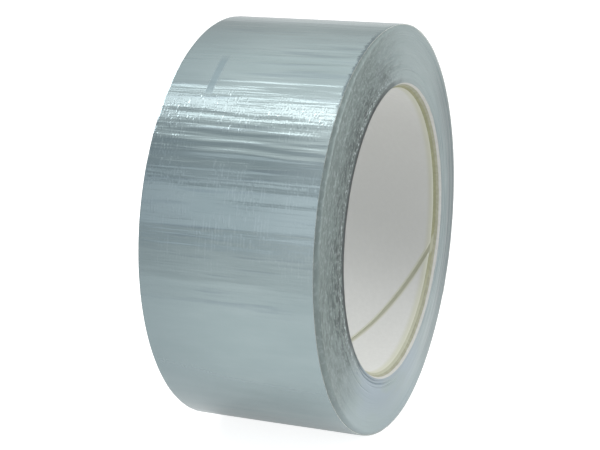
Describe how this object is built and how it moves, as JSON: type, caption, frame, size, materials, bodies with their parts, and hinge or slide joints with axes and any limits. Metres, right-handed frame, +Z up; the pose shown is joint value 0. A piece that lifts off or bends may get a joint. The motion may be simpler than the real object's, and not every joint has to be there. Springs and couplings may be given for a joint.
{
  "type": "duct tape roll",
  "caption": "Roll of silver cloth-backed duct tape wound on a spiral paper core, standing on its rim, with a free end that peels off the back.",
  "frame": {"origin": "centre of the roll, on the axis of the bore and midway across the width", "axes": "+X along the axis of the bore, out of the near side; +Z up, the roll standing on its rim on the -Z side; +Y to the back, where the free end lies"},
  "size_m": [0.0492, 0.11, 0.11],
  "materials": {
    "core_liner_paper": "matte white paper",
    "core_kraft": "matte olive kraft paper",
    "core_board": "matte grey-white board",
    "core_outer_paper": "matte cream paper",
    "wound_tape": "satin cut edges of wound tape",
    "tape_film": "satin silver polyethylene film",
    "tape_adhesive": "tacky rubber adhesive on cotton scrim"
  },
  "bodies": {
    "roll": {"core_liner": "core_liner_paper", "core_kraft_ply": "core_kraft", "core_board_ply": "core_board", "core_outer_ply": "core_outer_paper", "tape_windings": "wound_tape", "last_turn_adhesive": "tape_adhesive", "last_turn_film": "tape_film"},
    "tail_1": {"tail_film_1": "tape_film", "tail_adhesive_1": "tape_adhesive"},
    "tail_2": {"tail_film_2": "tape_film", "tail_adhesive_2": "tape_adhesive"},
    "tail_3": {"tail_film_3": "tape_film", "tail_adhesive_3": "tape_adhesive"},
    "tail_4": {"tail_film_4": "tape_film", "tail_adhesive_4": "tape_adhesive"},
    "tail_5": {"tail_film_5": "tape_film", "tail_adhesive_5": "tape_adhesive"},
    "tail_6": {"tail_film_6": "tape_film", "tail_adhesive_6": "tape_adhesive"},
    "tail_7": {"tail_film_7": "tape_film", "tail_adhesive_7": "tape_adhesive"}
  },
  "joints": [
    {"name": "tail_peel", "type": "hinge", "parent": "roll", "child": "tail_1", "pos_m": [0, 0.01656, 0.0525], "axis": [1, 0, 0], "range_deg": [0, 100]},
    {"name": "tail_bend_2", "type": "hinge", "parent": "tail_1", "child": "tail_2", "pos_m": [0, 0.02958, 0.04643], "axis": [1, 0, 0], "range_deg": [0, 17]},
    {"name": "tail_bend_3", "type": "hinge", "parent": "tail_2", "child": "tail_3", "pos_m": [0, 0.04059, 0.03719], "axis": [1, 0, 0], "range_deg": [0, 17]},
    {"name": "tail_bend_4", "type": "hinge", "parent": "tail_3", "child": "tail_4", "pos_m": [0, 0.04883, 0.02542], "axis": [1, 0, 0], "range_deg": [0, 17]},
    {"name": "tail_bend_5", "type": "hinge", "parent": "tail_4", "child": "tail_5", "pos_m": [0, 0.05375, 0.01192], "axis": [1, 0, 0], "range_deg": [0, 17]},
    {"name": "tail_bend_6", "type": "hinge", "parent": "tail_5", "child": "tail_6", "pos_m": [0, 0.055, -0.0024], "axis": [1, 0, 0], "range_deg": [0, 17]},
    {"name": "tail_bend_7", "type": "hinge", "parent": "tail_6", "child": "tail_7", "pos_m": [0, 0.0525, -0.01656], "axis": [1, 0, 0], "range_deg": [0, 17]}
  ],
  "couplings": [
    {"joint": "tail_bend_2", "follows": "tail_peel", "ratio": 0.17},
    {"joint": "tail_bend_3", "follows": "tail_peel", "ratio": 0.17},
    {"joint": "tail_bend_4", "follows": "tail_peel", "ratio": 0.17},
    {"joint": "tail_bend_5", "follows": "tail_peel", "ratio": 0.17},
    {"joint": "tail_bend_6", "follows": "tail_peel", "ratio": 0.17},
    {"joint": "tail_bend_7", "follows": "tail_peel", "ratio": 0.17}
  ]
}
